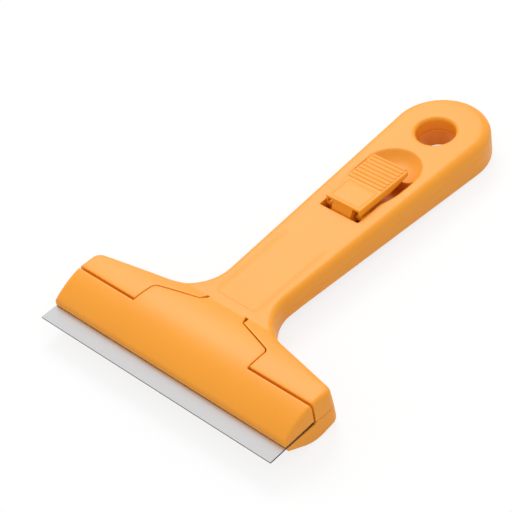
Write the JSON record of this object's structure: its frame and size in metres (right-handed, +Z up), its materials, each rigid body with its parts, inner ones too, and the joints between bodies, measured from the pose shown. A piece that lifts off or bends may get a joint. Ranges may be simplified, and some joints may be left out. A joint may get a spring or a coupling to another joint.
{
  "type": "wallpaper scraper",
  "caption": "Hand-held wallpaper scraper: a flat steel blade clamped in a wide head under a rocking cover, freed by a lock lever on a handle with a hanging hole.",
  "frame": {"origin": "under the middle of the bounding box, on the plane that the tool rests on", "axes": "+X across the blade to the right, +Y from the blade's edge back along the handle, +Z up, out of the face with the lever"},
  "size_m": [0.1014, 0.1568, 0.0148],
  "materials": {
    "orange_plastic": "satin moulded ABS, light orange",
    "inner_plastic": "plain moulded ABS, deeper orange",
    "blade_steel": "cold-rolled steel with a ground front edge",
    "zinc_steel": "zinc-plated steel"
  },
  "bodies": {
    "root": {"lower_housing": "orange_plastic", "upper_housing": "orange_plastic", "lever_pin": "zinc_steel", "cover_hinge_pin": "zinc_steel", "cover_spring_left": "zinc_steel", "cover_spring_right": "zinc_steel", "screw_belly_left": "zinc_steel", "screw_belly_right": "zinc_steel", "screw_neck_left": "zinc_steel", "screw_neck_right": "zinc_steel", "screw_handle_end": "zinc_steel"},
    "lever": {"lock_lever": "orange_plastic"},
    "bar": {"clamp_bar": "inner_plastic"},
    "cover": {"blade_cover": "orange_plastic"},
    "blade": {"blade": "blade_steel"}
  },
  "joints": [
    {"name": "lever_hinge", "type": "hinge", "parent": "root", "child": "lever", "pos_m": [0, 0.01325, 0.0099], "axis": [1, 0, 0], "range_deg": [0, 36]},
    {"name": "bar_slide", "type": "slide", "parent": "root", "child": "bar", "axis": [0, 1, 0], "range_m": [0, 0.00276]},
    {"name": "cover_hinge", "type": "hinge", "parent": "root", "child": "cover", "pos_m": [0, -0.05235, 0.0113], "axis": [-1, 0, 0], "range_deg": [0, 6], "deforming": ["cover_spring_left", "cover_spring_right"]},
    {"name": "blade_slide", "type": "slide", "parent": "root", "child": "blade", "axis": [0, -1, 0], "range_m": [0, 0.022]}
  ],
  "couplings": [
    {"joint": "lever_hinge", "follows": "bar_slide", "rad_per_m": 227.43},
    {"joint": "cover_hinge", "follows": "bar_slide", "rad_per_m": 37.9}
  ]
}
